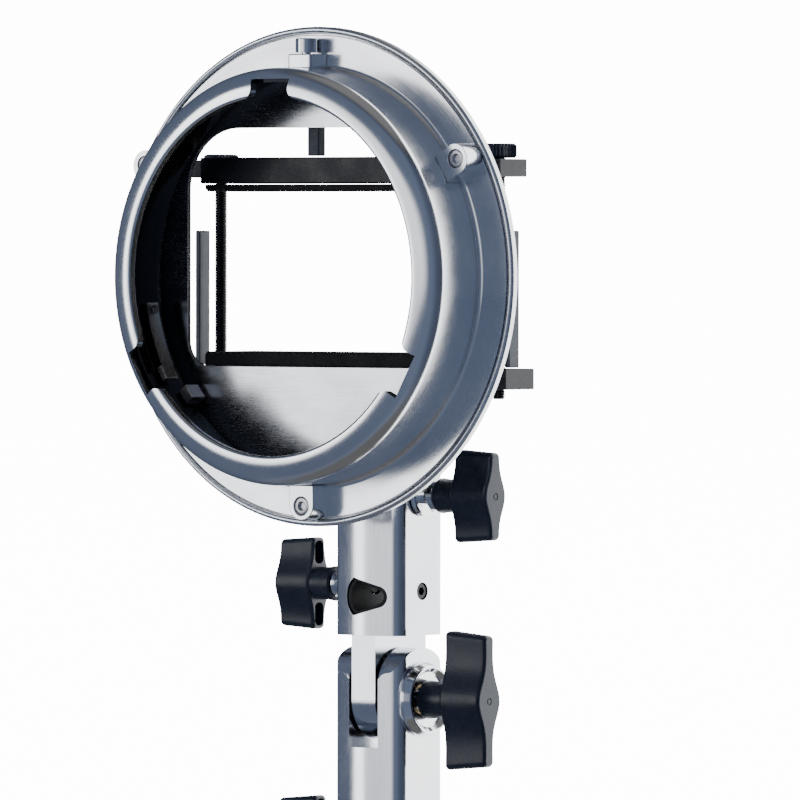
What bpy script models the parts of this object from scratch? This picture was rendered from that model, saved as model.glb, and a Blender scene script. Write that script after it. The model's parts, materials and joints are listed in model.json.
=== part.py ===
"""Umbrella swivel bracket with a flash-head clamp and an S-type bayonet ring.

Frame: +Z up along the stand, -Y is the front that the ring faces, +X is the side of the tilt knob.
The origin is the centre of the stand socket's mouth, on the underside of the lower block.
"""

import math

import bmesh
import bpy
from mathutils import Matrix, Vector

MM = 0.001
GAP = 0.3  # clearance between pieces that touch

# Extruded blocks
BLOCK_WIDTH = 26.0
BLOCK_DEPTH = 26.0
CORNER = 4.2
CORNER_TURN = 75  # degrees of round corner before the crowned front or rear face takes over
PIVOT_Z = 70.5
EAR_TOP = 86.3
SLOT_HALF = 5.6
SLOT_BOTTOM = 55.8
TONGUE_HALF = 4.55
TONGUE_RADIUS = 12.6
UPPER_BOTTOM = 90.1
UPPER_TOP = 160.0
SOCKET_RADIUS = 8.2
SOCKET_DEPTH = 42.0

# Umbrella hole and the four lock screws
UMBRELLA_Z = 102.0
SET_SCREW_Z = 103.6
UMBRELLA_LOCK_Z = 105.3
HEIGHT_LOCK_Z = 133.0
STAND_LOCK_Z = 18.6
SMALL_WING = {"height": 28.4, "depth": 13.7, "web": 4.8, "bulge": 10.6}
LARGE_WING = {"height": 42.6, "depth": 15.0, "web": 4.6, "bulge": 11.0}

# Head post in the upper block
POST_HALF_X = 7.0
POST_HALF_Y = 6.0
POST_BOTTOM = 112.4
POST_TOP = 165.7

# Bayonet ring and back plate, given from the ring's own rear plane and centre
RING_Y = -34.0
RING_Z = 200.0
RIM_RADIUS = 76.0
BEAD_INNER = 73.9
BEAD_FRONT = -3.3
PLATE_FRONT = -1.5
FLANGE_FRONT = -2.9
FLANGE_BACK = -1.8
FLANGE_RADIUS = 73.5
LIP_RADIUS = 54.35
LIP_FRONT = -25.4
NOTCH_ANGLES = (90, 210, 330)
LUG_ANGLES = (30, 150, 270)
LUG_FACE = -10.4
LUG_SCREW_RADIUS = 69.7
LUG_LEAD = 0.7  # degrees that the three lugs sit past their nominal angles
APERTURE = {"half": 50.8, "bottom": -27.6, "top": 45.3, "low_corner": 8.0, "high_corner": 19.0}

# Flash-head clamp
JAW_FRONT = -33.0
LOWER_JAW_BOTTOM = 166.0
LOWER_JAW_TOP = 172.3
LOWER_PAD_TOP = 177.0
UPPER_PAD_BOTTOM = 225.9
UPPER_JAW_BOTTOM = 228.4
UPPER_JAW_TOP = 236.4
CLAMP_SCREW_X = 54.1
CLAMP_SCREW_Y = -15.2
CENTRE_POST_X = -3.9


# ---------------------------------------------------------------- scene and materials


def clear_scene():
    for item in list(bpy.data.objects):
        bpy.data.objects.remove(item, do_unlink=True)


def material(name, colour, roughness, metallic):
    found = bpy.data.materials.get(name)
    if found:
        return found
    made = bpy.data.materials.new(name)
    made.use_nodes = True
    shader = made.node_tree.nodes["Principled BSDF"]
    shader.inputs["Base Color"].default_value = (*colour, 1.0)
    shader.inputs["Roughness"].default_value = roughness
    shader.inputs["Metallic"].default_value = metallic
    made.diffuse_color = (*colour, 1.0)
    return made


def polished():
    return material("polished_aluminium", (0.78, 0.79, 0.81), 0.18, 1.0)


def brushed():
    return material("brushed_aluminium", (0.72, 0.73, 0.75), 0.32, 1.0)


def chrome():
    return material("chrome", (0.85, 0.86, 0.88), 0.08, 1.0)


def steel():
    return material("spring_steel", (0.55, 0.54, 0.52), 0.35, 1.0)


def black_metal():
    return material("black_metal", (0.03, 0.032, 0.037), 0.45, 0.3)


def black_plastic():
    return material("black_plastic", (0.025, 0.027, 0.034), 0.5, 0.0)


def grey_plastic():
    return material("grey_plastic", (0.16, 0.17, 0.2), 0.5, 0.0)


def rubber():
    return material("rubber", (0.015, 0.015, 0.016), 0.8, 0.0)


def brass():
    return material("brass", (0.75, 0.56, 0.28), 0.3, 1.0)


# ---------------------------------------------------------------- solids


def finish_mesh(name, mesh_builder, look, origin):
    """Turns a bmesh, in millimetres and world places, into an object whose origin is at origin."""
    bmesh.ops.recalc_face_normals(mesh_builder, faces=mesh_builder.faces)
    shift = Matrix.Translation(-Vector(origin))
    bmesh.ops.transform(mesh_builder, matrix=Matrix.Scale(MM, 4) @ shift, verts=mesh_builder.verts)
    mesh = bpy.data.meshes.new(name)
    mesh_builder.to_mesh(mesh)
    mesh_builder.free()
    piece = bpy.data.objects.new(name, mesh)
    piece.location = Vector(origin) * MM
    bpy.context.scene.collection.objects.link(piece)
    if look:
        mesh.materials.append(look)
    mesh.shade_smooth()
    mesh.set_sharp_from_angle(angle=math.radians(32))
    return piece


def on_axis(axis, first, second, along):
    """A point from two plane coordinates and a height along the axis letter."""
    if axis == "X":
        return Vector((along, first, second))
    if axis == "Y":
        return Vector((first, along, second))
    return Vector((first, second, along))


def prism(name, outline, axis, low, high, look=None, origin=(0, 0, 0)):
    """Extrudes an outline: (y, z) along X, (x, z) along Y or (x, y) along Z."""
    build = bmesh.new()
    bottom = [build.verts.new(on_axis(axis, a, b, low)) for a, b in outline]
    top = [build.verts.new(on_axis(axis, a, b, high)) for a, b in outline]
    build.faces.new(bottom)
    build.faces.new(top)
    count = len(outline)
    for i in range(count):
        j = (i + 1) % count
        build.faces.new((bottom[i], bottom[j], top[j], top[i]))
    return finish_mesh(name, build, look, origin)


def turned(name, profile, axis, centre, segments, look=None, origin=None):
    """Turns a closed profile of (radius, along) points about an axis letter through centre."""
    build = bmesh.new()
    rings = []
    for radius, along in profile:
        if radius < 1e-6:
            rings.append([build.verts.new(turned_point(axis, centre, 0, 0, along))])
            continue
        ring = []
        for i in range(segments):
            angle = 2 * math.pi * i / segments
            ring.append(build.verts.new(turned_point(axis, centre, radius, angle, along)))
        rings.append(ring)
    closed = min(radius for radius, along in profile) > 1e-6
    for i in range(len(rings) if closed else len(rings) - 1):
        bridge(build, rings[i], rings[(i + 1) % len(rings)])
    return finish_mesh(name, build, look, origin or centre)


def turned_point(axis, centre, radius, angle, along):
    first = radius * math.cos(angle)
    second = radius * math.sin(angle)
    return Vector(centre) + on_axis(axis, first, second, along)


def bridge(build, ring_a, ring_b):
    """Joins two rings of points, either of which may be a single pole."""
    count = max(len(ring_a), len(ring_b))
    for i in range(count):
        j = (i + 1) % count
        if len(ring_a) == 1:
            build.faces.new((ring_a[0], ring_b[i], ring_b[j]))
        elif len(ring_b) == 1:
            build.faces.new((ring_a[i], ring_a[j], ring_b[0]))
        else:
            build.faces.new((ring_a[i], ring_a[j], ring_b[j], ring_b[i]))


def rod(name, radius, axis, centre, low, high, look=None, segments=16, origin=None):
    profile = [(0, low), (radius, low), (radius, high), (0, high)]
    return turned(name, profile, axis, centre, segments, look, origin)


def box(name, low, high, look=None, origin=(0, 0, 0)):
    outline = [(low[0], low[1]), (high[0], low[1]), (high[0], high[1]), (low[0], high[1])]
    return prism(name, outline, "Z", low[2], high[2], look, origin)


def combine(piece, tool, operation):
    """Applies a Boolean of another solid, which stays hidden as a guide."""
    tool.hide_render = True
    tool.display_type = "WIRE"
    modifier = piece.modifiers.new(tool.name, "BOOLEAN")
    modifier.operation = operation
    modifier.object = tool
    modifier.solver = "EXACT"
    return piece


def cut(piece, *tools):
    for tool in tools:
        combine(piece, tool, "DIFFERENCE")
    return piece


def fuse(piece, *tools):
    for tool in tools:
        combine(piece, tool, "UNION")
    return piece


# ---------------------------------------------------------------- outlines


def arc(centre_a, centre_b, radius_a, radius_b, start, end, steps):
    """Points on an elliptical arc, angles in degrees, both ends included."""
    points = []
    for i in range(steps + 1):
        angle = math.radians(start + (end - start) * i / steps)
        points.append((centre_a + radius_a * math.cos(angle), centre_b + radius_b * math.sin(angle)))
    return points


def block_outline():
    """The extrusion's section: flat sides, round corners, front and rear crowned."""
    turn = math.radians(CORNER_TURN)
    flat_x = BLOCK_WIDTH / 2 - CORNER
    crown_half = flat_x + CORNER * math.cos(turn)
    crown = crown_half / math.tan(turn) / 2
    flat_y = BLOCK_DEPTH / 2 - crown - CORNER * math.sin(turn)
    points = arc(flat_x, flat_y, CORNER, CORNER, 0, CORNER_TURN, 5)
    points += crown_points(crown_half, crown, 1)
    points += arc(-flat_x, flat_y, CORNER, CORNER, 180 - CORNER_TURN, 180, 5)
    return points + [(-x, -y) for x, y in points]


def crown_points(half, crown, side):
    """Points over a crowned face, between its two corners."""
    parts = (0.67, 0.33, 0, -0.33, -0.67)
    return [(side * part * half, side * (BLOCK_DEPTH / 2 - crown * part**2)) for part in parts]


def umbrella_outline(inset):
    """The V-sided umbrella hole in X and Z: a wide round end at -X and a small round end at +X."""
    wide = arc(0.6, UMBRELLA_Z, 7.2 - inset, 7.2 - inset, 126, 234, 10)
    narrow = arc(5.4, UMBRELLA_Z, 3.3 - inset, 3.3 - inset, -70, 70, 8)
    return wide + narrow


def wing_outline(wing):
    """Half thickness against height for a wing: a bulge at the hub, thin webs and round tips."""
    half_height = wing["height"] / 2
    half_web = wing["web"] / 2
    swell = wing["bulge"] / 2 - half_web
    right = []
    for i in range(13):
        z = -1 + 2 * i / 12
        z = math.copysign(abs(z) ** 0.85, z) * (half_height - half_web)
        tip = 0.5 * (abs(z) / half_height) ** 4
        width = half_web + swell * math.exp(-((z / (wing["bulge"] * 0.48)) ** 2)) + tip
        right.append((width, z))
    top = right[-1]
    cap = arc(0, top[1], top[0], half_web, 0, 180, 6)[1:-1]
    left = [(-width, z) for width, z in reversed(right)]
    foot = [(-a, -b) for a, b in cap]
    return right + cap + left + foot


# ---------------------------------------------------------------- lock screws and knobs


def wing_knob(name, wing, side, height, hub_start, wing_start, hub_radius, bore):
    """A moulded wing knob on an X axis: a round hub, two cored lobes and a bore for its screw."""
    centre = (0, 0, height)
    outline = [(a, b + height) for a, b in wing_outline(wing)]
    end = wing_start + wing["depth"]
    low, high = sorted((side * wing_start, side * end))
    knob = prism(name, outline, "X", low, high, black_plastic(), centre)
    low, high = sorted((side * hub_start, side * (end - 3.0)))
    fuse(knob, rod(name + "_hub_guide", hub_radius, "X", centre, low, high))
    low, high = sorted((side * (hub_start - 1), side * (wing_start + bore[1])))
    cut(knob, rod(name + "_bore_guide", bore[0], "X", centre, low, high))
    for sign in (-1, 1):
        cut(knob, lobe_core(name, wing, side, height, wing_start, sign))
    return knob


def lobe_core(name, wing, side, height, wing_start, sign):
    """The pocket moulded into a lobe, open on the hub's side."""
    half = wing["web"] / 2 - 1.1
    near = height + sign * (wing["bulge"] / 2 + 2.4)
    far = height + sign * (wing["height"] / 2 - 1.6)
    low_z, high_z = sorted((near, far))
    low_x, high_x = sorted((side * (wing_start - 1), side * (wing_start + wing["depth"] * 0.6)))
    label = f"{name}_core_guide_{'upper' if sign > 0 else 'lower'}"
    return box(label, (low_x, -half, low_z), (high_x, half, high_z))


def lock_screw(name, side, height, radius, tip, collar, end, origin, flange=()):
    """A stud with a round collar against its knob; along X from its tip out to its end."""
    profile = [(0, side * tip), (radius, side * tip)]
    profile += [(wide, side * along) for wide, along in flange]
    profile += [
        (radius, side * collar[0]),
        (collar[2], side * collar[0]),
        (collar[2], side * collar[1]),
        (radius, side * collar[1]),
        (radius, side * end),
        (0, side * end),
    ]
    return turned(name, profile, "X", (0, 0, height), 16, chrome(), origin)


def pressure_pad(name, side, height, radius, tip, back, look):
    low, high = sorted((side * tip, side * back))
    return rod(name, radius, "X", (0, 0, height), low, high, look, 16)


def umbrella_lock():
    centre = (0, 0, UMBRELLA_LOCK_Z)
    pressure_pad("umbrella_lock_pad", -1, UMBRELLA_LOCK_Z, 2.7, 5.6, 7.4, black_plastic())
    lock_screw("umbrella_lock_screw", -1, UMBRELLA_LOCK_Z, 2.9, 7.7, (18.6, 19.7, 4.4), 30.0, centre)
    wing_knob("umbrella_lock_knob", SMALL_WING, -1, UMBRELLA_LOCK_Z, 20.0, 27.3, 5.4, (3.2, 6.0))


def height_lock():
    centre = (0, 0, HEIGHT_LOCK_Z)
    pressure_pad("height_lock_pad", 1, HEIGHT_LOCK_Z, 2.7, 7.0 + GAP, 9.0, steel())
    dish = ((2.9, 13.4), (6.6, 13.4), (6.6, 14.4), (5.7, 15.1), (4.5, 14.3), (2.9, 14.3))
    lock_screw("height_lock_screw", 1, HEIGHT_LOCK_Z, 2.9, 9.3, (17.6, 20.2, 4.8), 30.0, centre, dish)
    wing_knob("height_lock_knob", SMALL_WING, 1, HEIGHT_LOCK_Z, 20.5, 27.6, 5.4, (3.2, 6.0))


def stand_lock():
    centre = (0, 0, STAND_LOCK_Z)
    pressure_pad("stand_lock_pad", -1, STAND_LOCK_Z, 3.7, 8.4, 10.2, steel())
    lock_screw("stand_lock_screw", -1, STAND_LOCK_Z, 3.9, 10.5, (16.6, 17.7, 5.4), 30.0, centre)
    wing_knob("stand_lock_knob", LARGE_WING, -1, STAND_LOCK_Z, 18.0, 26.6, 5.9, (4.2, 6.0))


def tilt_lock():
    centre = (0, 0, PIVOT_Z)
    profile = [(3.2, 13.3), (11.5, 13.3), (11.5, 14.5), (10.5, 16.6), (9.7, 16.6), (8.7, 15.0), (3.2, 14.4)]
    turned("tilt_boss", profile, "X", centre, 32, chrome())
    bush = [(3.2, 16.0), (4.4, 16.0), (4.4, 26.0), (3.2, 26.0)]
    turned("tilt_knob_bush", bush, "X", centre, 16, brass())
    wing_knob("tilt_knob", LARGE_WING, 1, PIVOT_Z, 15.4, 24.0, 5.9, (4.7, 6.0))
    head = [
        (0, -16.1),
        (5.0, -16.1),
        (5.0, -13.3),
        (3.0, -13.3),
        (3.0, 25.6),
        (0, 25.6),
    ]
    turned("tilt_bolt", head, "X", centre, 18, steel())
    for side, label in ((-1, "left"), (1, "right")):
        low, high = sorted((side * (TONGUE_HALF + 0.25), side * (SLOT_HALF - 0.25)))
        disc = [(3.3, low), (11.0, low), (11.0, high), (3.3, high)]
        turned(f"friction_washer_{label}", disc, "X", centre, 28, black_plastic())


# ---------------------------------------------------------------- blocks


def lower_block():
    """Clevis above, stand socket below."""
    block = prism("lower_block", block_outline(), "Z", 0, EAR_TOP + 2, brushed())
    half = BLOCK_DEPTH / 2
    top = [(half + 3, -2), (half + 3, EAR_TOP - half), (half, EAR_TOP - half)]
    top += arc(0, EAR_TOP - half, half, half, 0, 180, 20)[1:]
    top += [(-half - 3, EAR_TOP - half), (-half - 3, -2)]
    combine(block, prism("ear_guide", top, "X", -20, 20), "INTERSECT")
    slot = box("slot_guide", (-SLOT_HALF, -20, SLOT_BOTTOM), (SLOT_HALF, 20, 95))
    socket = rod("socket_guide", SOCKET_RADIUS, "Z", (0, 0, 0), -5, SOCKET_DEPTH, segments=32)
    pivot = rod("pivot_guide", 3.3, "X", (0, 0, PIVOT_Z), -20, 20, segments=16)
    lock = rod("stand_thread_guide", 4.1, "X", (0, 0, STAND_LOCK_Z), -20, -4, segments=16)
    return cut(block, slot, socket, pivot, lock)


def upper_block():
    """Carries the umbrella hole and the head post, with a tongue that fits the clevis."""
    pivot = (0, 0, PIVOT_Z)
    block = prism("upper_block", block_outline(), "Z", UPPER_BOTTOM, UPPER_TOP, brushed(), pivot)
    tongue = [(TONGUE_RADIUS, UPPER_BOTTOM + 4)]
    tongue += [(-a, b) for a, b in arc(0, PIVOT_Z, TONGUE_RADIUS, TONGUE_RADIUS, 180, 360, 20)]
    tongue += [(-TONGUE_RADIUS, UPPER_BOTTOM + 4)]
    fuse(block, prism("tongue_guide", tongue, "X", -TONGUE_HALF, TONGUE_HALF))
    cut(block, prism("umbrella_guide", umbrella_outline(0), "Y", -20, 20))
    pocket_low = (-POST_HALF_X - GAP, -POST_HALF_Y - GAP, POST_BOTTOM - 0.4)
    pocket_high = (POST_HALF_X + GAP, POST_HALF_Y + GAP, UPPER_TOP + 5)
    cut(block, box("post_pocket_guide", pocket_low, pocket_high))
    cut(block, rod("tongue_bore_guide", 3.3, "X", pivot, -20, 20))
    cut(block, rod("umbrella_thread_guide", 3.2, "X", (0, 0, UMBRELLA_LOCK_Z), -20, -1.7))
    cut(block, rod("height_thread_guide", 3.2, "X", (0, 0, HEIGHT_LOCK_Z), 4, 20))
    cut(block, rod("set_screw_guide", 2.7, "X", (0, 0, SET_SCREW_Z), 7, 20))
    return block


def umbrella_liner():
    """A black V seat that keeps the umbrella shaft from being scored."""
    length = BLOCK_DEPTH / 2 - 1.0
    liner = prism("umbrella_liner", umbrella_outline(GAP), "Y", -length, length, black_plastic())
    cut(liner, prism("liner_bore_guide", umbrella_outline(1.3), "Y", -20, 20))
    return cut(liner, rod("liner_port_guide", 3.2, "X", (0, 0, UMBRELLA_LOCK_Z), -20, -1.7))


def umbrella_set_screw():
    centre = (0, 0, SET_SCREW_Z)
    screw = rod("umbrella_set_screw", 2.4, "X", centre, 9.2, 12.6, black_metal())
    return cut(screw, hexagon("set_screw_hex_guide", 1.3, "X", centre, 11.2, 20))


def hexagon(name, radius, axis, centre, low, high, look=None):
    return rod(name, radius, axis, centre, low, high, look, 6)


# ---------------------------------------------------------------- clamp


def teeth_outline(half, low, high, depth, steps):
    """A strip in X and Z whose high edge is a row of V teeth pointing away from the low edge."""
    points = [(half, low)]
    for i in range(2 * steps + 1):
        x = half - i * half / steps
        points.append((x, high if i % 2 else high - depth))
    return points + [(-half, low)]


def head_post():
    low = (-POST_HALF_X, -POST_HALF_Y, POST_BOTTOM)
    high = (POST_HALF_X, POST_HALF_Y, POST_TOP)
    post = box("head_post", low, high, brushed())
    for side, label in ((-1, "left"), (1, "right")):
        centre = (side * 3.7, 0, 0)
        cut(post, rod(f"post_tap_guide_{label}", 1.7, "Z", centre, POST_TOP - 9, POST_TOP + 5, segments=12))
        profile = [(0, POST_TOP - 8), (1.4, POST_TOP - 8), (1.4, LOWER_JAW_TOP + GAP)]
        profile += [(2.7, LOWER_JAW_TOP + GAP), (2.7, LOWER_JAW_TOP + 2.5), (0, LOWER_JAW_TOP + 2.5)]
        turned(f"post_screw_{label}", profile, "Z", centre, 14, steel())
    return post


def lower_jaw():
    """The clamp's base: a cross bar with a foot at each end and a tail over the head post."""
    half = [(11, 9), (11, -8.6), (62.5, -8.6), (62.5, -22.7), (48, -22.7), (48, JAW_FRONT)]
    outline = half + [(-x, y) for x, y in reversed(half)]
    jaw = prism("lower_jaw", outline, "Z", LOWER_JAW_BOTTOM, LOWER_JAW_TOP, black_metal())
    for side, label in ((-1, "left"), (1, "right")):
        centre = (side * CLAMP_SCREW_X, CLAMP_SCREW_Y, 0)
        cut(jaw, rod(f"foot_hole_guide_{label}", 2.3, "Z", centre, 150, 190, segments=12))
        cut(jaw, rod(f"tail_hole_guide_{label}", 1.7, "Z", (side * 3.7, 0, 0), 150, 190, segments=12))
        cut(jaw, rod(f"jaw_tap_guide_{label}", 1.7, "Z", (side * 14, -22, 0), 150, 170.5, segments=12))
    return jaw


def jaw_pads():
    low = teeth_outline(46, LOWER_JAW_TOP + GAP, LOWER_PAD_TOP, 0.9, 38)
    prism("lower_pad", low, "Y", JAW_FRONT, -9, rubber())
    high = teeth_outline(46, UPPER_JAW_BOTTOM - GAP, UPPER_PAD_BOTTOM, -0.9, 38)
    return prism("upper_pad", high, "Y", JAW_FRONT, -10, rubber())


def side_rails():
    """Flat uprights on the feet that keep the flash head from slipping out sideways."""
    for side, label in ((-1, "left"), (1, "right")):
        low_x, high_x = sorted((side * 59.3, side * 61.1))
        low = (low_x, -19.2, LOWER_JAW_TOP + GAP)
        box(f"side_rail_{label}", low, (high_x, -14.2, 214), grey_plastic())


def upper_jaw():
    """The sliding jaw: a cross bar with a lower ear at each end for the clamp screws."""
    half = [(46.5, -8.8), (60.5, -9.6), (60.5, -23.2), (48, -23.2), (48, JAW_FRONT)]
    outline = half + [(-x, y) for x, y in reversed(half)]
    jaw = prism("upper_jaw", outline, "Z", UPPER_JAW_BOTTOM, UPPER_JAW_TOP, black_metal())
    for side, label in ((-1, "left"), (1, "right")):
        low_x, high_x = sorted((side * 48, side * 70))
        cut(jaw, box(f"ear_top_guide_{label}", (low_x, -40, 235.7), (high_x, 0, 250)))
        cut(jaw, box(f"ear_under_guide_{label}", (low_x, -40, 220), (high_x, 0, 230.3)))
        centre = (side * CLAMP_SCREW_X, CLAMP_SCREW_Y, 0)
        cut(jaw, rod(f"ear_hole_guide_{label}", 2.3, "Z", centre, 220, 250, segments=12))
    return jaw


def clamp_screws():
    """Thumb screws that pull the upper jaw down on the flash head; the left one has a thin cap."""
    for side, label, top in ((-1, "left", 237.5), (1, "right", 240.4)):
        centre = (side * CLAMP_SCREW_X, CLAMP_SCREW_Y, 0)
        shank = [(0, 163.0), (1.6, 163.0), (2.0, 163.6), (2.0, top - 0.8), (0, top - 0.8)]
        turned(f"clamp_screw_{label}", shank, "Z", centre, 14, black_metal())
        outline = []
        for i in range(36):
            angle = 2 * math.pi * i / 36
            radius = 5.35 - (0.35 if i % 2 else 0.0)
            x = centre[0] + radius * math.cos(angle)
            outline.append((x, centre[1] + radius * math.sin(angle)))
        cap = prism(f"clamp_cap_{label}", outline, "Z", 236.0, top, black_plastic(), centre)
        cut(cap, rod(f"cap_bore_guide_{label}", 2.3, "Z", centre, 230, top - 0.5, segments=14))


def centre_post():
    """A square guide on the upper jaw, which runs in a bracket behind the back plate."""
    low_x = CENTRE_POST_X - 2.15
    high_x = CENTRE_POST_X + 2.15
    box("centre_post", (low_x, -32.8, UPPER_JAW_TOP + GAP), (high_x, -29.3, 262), grey_plastic())
    guide = box("post_guide", (low_x - 5, -33.7, 247.5), (high_x + 5, -27.5, 257), black_metal())
    return cut(guide, box("post_guide_slot", (low_x - 0.35, -33.1, 240), (high_x + 0.35, -29.0, 270)))


def plate_bracket():
    """An angle that hangs the back plate from the clamp's base."""
    outline = [(-33.7, 146), (-31.9, 146), (-31.9, 163.9), (-12, 163.9), (-12, 165.7), (-33.7, 165.7)]
    bracket = prism("plate_bracket", outline, "X", -20, 20, steel())
    for side, label in ((-1, "left"), (1, "right")):
        stud = rod(f"stud_hole_guide_{label}", 2.0, "Y", (side * 13, 0, 153), -40, -30, segments=12)
        hole = rod(f"bracket_hole_guide_{label}", 1.7, "Z", (side * 14, -22, 0), 160, 170, segments=12)
        cut(bracket, stud, hole)
        profile = [(0, 162.0), (2.7, 162.0), (2.7, 163.6), (1.4, 163.6), (1.4, 170.0), (0, 170.0)]
        turned(f"bracket_screw_{label}", profile, "Z", (side * 14, -22, 0), 14, steel())
        nut = hexagon(f"plate_nut_{label}", 3.2, "Y", (side * 13, 0, 153), -31.6, -29.2, steel())
        fuse(nut, rod(f"plate_stud_guide_{label}", 1.6, "Y", (side * 13, 0, 153), -33.7, -28.4, segments=12))
    return bracket


# ---------------------------------------------------------------- ring and plate


def ring_centre():
    return (0, RING_Y, RING_Z)


def aperture_outline():
    """The back plate's window: nearly as wide as the ring, with its upper corners on the ring's curve."""
    half = APERTURE["half"]
    low = APERTURE["low_corner"]
    high = APERTURE["high_corner"]
    bottom = RING_Z + APERTURE["bottom"]
    top = RING_Z + APERTURE["top"]
    points = arc(half - high, top - high, high, high, 0, 90, 8)
    points += arc(high - half, top - high, high, high, 90, 180, 8)
    points += arc(low - half, bottom + low, low, low, 180, 270, 5)
    points += arc(half - low, bottom + low, low, low, 270, 360, 5)
    return points


def back_plate():
    """A round sheet with a rolled bead around its edge."""
    profile = [
        (0, 0),
        (RIM_RADIUS - 0.6, 0),
        (RIM_RADIUS, -0.6),
        (RIM_RADIUS, BEAD_FRONT + 0.9),
        (RIM_RADIUS - 0.9, BEAD_FRONT),
        (BEAD_INNER + 0.3, BEAD_FRONT),
        (BEAD_INNER, BEAD_FRONT + 0.3),
        (BEAD_INNER, PLATE_FRONT),
        (0, PLATE_FRONT),
    ]
    plate = turned("back_plate", profile, "Y", ring_centre(), 72, polished())
    cut(plate, prism("aperture_guide", aperture_outline(), "Y", RING_Y - 10, RING_Y + 10))
    for angle in LUG_ANGLES:
        cut(plate, lug_hole("plate_lug_hole", angle))
    return plate


def bayonet_profile():
    """The ring's section from its flange, round the lip and back along the inside."""
    return [
        (FLANGE_RADIUS, FLANGE_BACK),
        (FLANGE_RADIUS, FLANGE_FRONT),
        (63.9, FLANGE_FRONT),
        (63.4, FLANGE_FRONT - 0.4),
        (63.2, FLANGE_FRONT - 1.3),
        (63.3, -20.3),
        (62.7, -22.4),
        (61.2, -24.1),
        (59.1, -25.1),
        (57.0, LIP_FRONT),
        (55.4, LIP_FRONT),
        (LIP_RADIUS, -24.3),
        (LIP_RADIUS + 0.2, -22.6),
        (57.2, -22.4),
        (59.0, -21.9),
        (60.0, -20.4),
        (60.5, -5.0),
        (61.4, FLANGE_BACK),
    ]


def polar(radius, angle):
    turn = math.radians(angle)
    return (radius * math.cos(turn), RING_Z + radius * math.sin(turn))


def notch_guide(angle):
    """Cuts one gap through the lip, its mouth flared by the lip's rounded ends."""
    steps = ((60.3, 7.0), (57.0, 7.2), (55.6, 8.0), (54.6, 9.6), (53.9, 12.0), (52.0, 14.0))
    outline = [polar(radius, angle + half) for radius, half in steps]
    outline += [polar(radius, angle - half) for radius, half in reversed(steps)]
    return prism(f"notch_guide_{angle}", outline, "Y", RING_Y - 30, RING_Y - 21.3)


def bayonet_ring():
    """The S-type ring that a softbox's speed ring turns into."""
    ring = turned("bayonet_ring", bayonet_profile(), "Y", ring_centre(), 72, polished())
    for angle in NOTCH_ANGLES:
        cut(ring, notch_guide(angle))
    for angle in LUG_ANGLES:
        cut(ring, lug_hole("ring_lug_hole", angle))
    pin_centre = (0, RING_Y - 6.9, RING_Z)
    return cut(ring, rod("pin_hole_guide", 1.8, "Z", pin_centre, 55, 65, segments=12))


def lug_hole(label, angle):
    x, z = polar(LUG_SCREW_RADIUS, angle + LUG_LEAD)
    centre = (x, RING_Y, z)
    return rod(f"{label}_{angle}", 1.75, "Y", centre, -14, 4, segments=12)


def flange_lugs():
    """Raised lugs on the flange, each with a countersunk hex screw."""
    for angle in LUG_ANGLES:
        turn = math.radians(angle + LUG_LEAD)
        along = Vector((math.cos(turn), math.sin(turn)))
        across = Vector((-along.y, along.x))
        local = [(64.0, -4.65)] + arc(LUG_SCREW_RADIUS, 0, 4.3, 4.65, -90, 90, 10) + [(64.0, 4.65)]
        outline = []
        for radius, sideways in local:
            point = along * radius + across * sideways
            outline.append((point.x, RING_Z + point.y))
        name = f"flange_lug_{angle}"
        lug = prism(name, outline, "Y", RING_Y + LUG_FACE, RING_Y + FLANGE_FRONT - GAP, polished())
        x, z = polar(LUG_SCREW_RADIUS, angle + LUG_LEAD)
        centre = (x, RING_Y, z)
        sink = rod(f"{name}_sink_guide", 3.0, "Y", centre, LUG_FACE - 2, LUG_FACE + 1.9)
        cut(lug, sink, lug_hole("lug_hole", angle))
        lug_screw(angle, centre)


def lug_screw(angle, centre):
    profile = [
        (0, LUG_FACE + 0.2),
        (2.2, LUG_FACE + 0.2),
        (2.6, LUG_FACE + 0.6),
        (2.6, LUG_FACE + 1.6),
        (1.45, LUG_FACE + 1.6),
        (1.45, 0),
        (0, 0),
    ]
    screw = turned(f"lug_screw_{angle}", profile, "Y", centre, 16, steel())
    name = f"lug_screw_hex_guide_{angle}"
    return cut(screw, hexagon(name, 1.3, "Y", centre, LUG_FACE - 2, LUG_FACE + 1.3))


def ring_lock():
    """The radial screw at the top that locks a speed ring in place, in its own lug."""
    axis_y = RING_Y - 6.9
    centre = (0, axis_y, RING_Z)
    low = (-4.5, RING_Y - 10.6, RING_Z + 63.6)
    lug = box("lock_lug", low, (4.5, RING_Y + FLANGE_FRONT - GAP, RING_Z + 67.6), polished())
    cut(lug, rod("lock_lug_guide", 1.8, "Z", centre, 60, 70, segments=12))
    shank = [(0, 61.6), (1.45, 61.6), (1.45, 68.0), (3.35, 68.0), (3.35, 71.9), (2.9, 72.4), (0, 72.4)]
    turned("ring_lock_screw", shank, "Z", centre, 20, chrome())
    return rod("ring_lock_pin", 1.2, "Z", centre, 58.4, 61.3, steel(), 12)


def arc_strip(name, radius, thickness, start, end, low, high, look, origin, steps=6):
    """A strip that follows the ring's curve, from start to end in degrees."""
    outline = [polar(radius, start + (end - start) * i / steps) for i in range(steps + 1)]
    inner = radius - thickness
    outline += [polar(inner, end + (start - end) * i / steps) for i in range(steps + 1)]
    return prism(name, outline, "Y", RING_Y + low, RING_Y + high, look, origin)


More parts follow.
